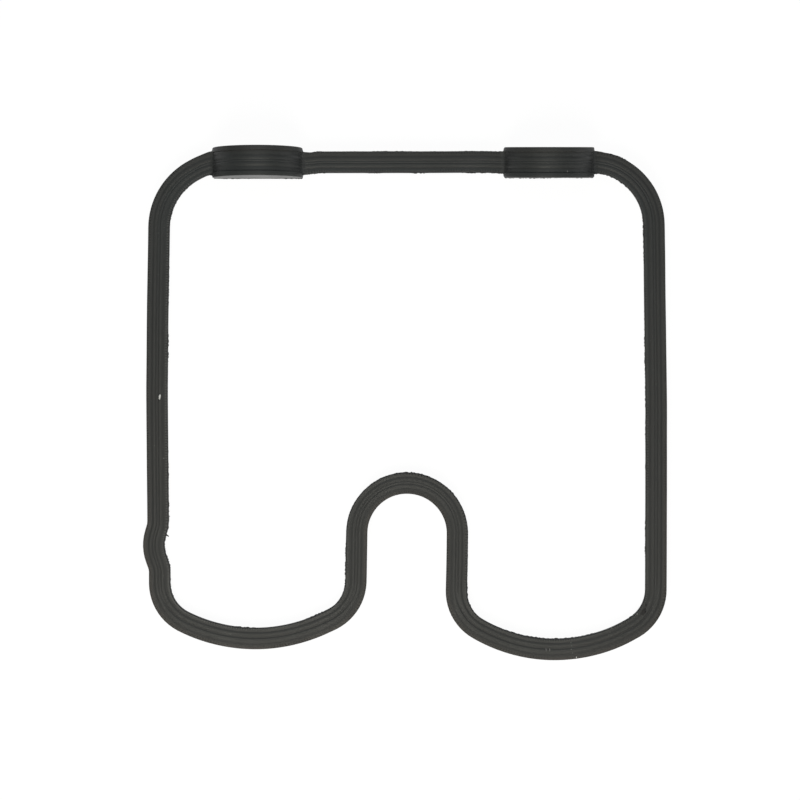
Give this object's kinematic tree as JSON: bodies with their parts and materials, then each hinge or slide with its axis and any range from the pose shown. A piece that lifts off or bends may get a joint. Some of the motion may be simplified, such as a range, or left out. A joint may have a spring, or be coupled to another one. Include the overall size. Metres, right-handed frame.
{
  "type": "valve cover gasket",
  "caption": "Moulded rubber valve cover gasket: a closed loop of ribbed T-section with half-moon camshaft plugs on one side and a deep U notch opposite.",
  "frame": {"origin": "middle of the underside, on the plane that the keel's foot rests on", "axes": "+Z from the cover towards the cylinder head, out of the ribbed face; +Y from the U notch towards the half-moons; +X to the right with the ribbed face towards the viewer"},
  "size_m": [0.1308, 0.128, 0.0168],
  "materials": {
    "rubber": "matt moulded rubber"
  },
  "bodies": {
    "root": {"gasket": "rubber"}
  },
  "joints": []
}
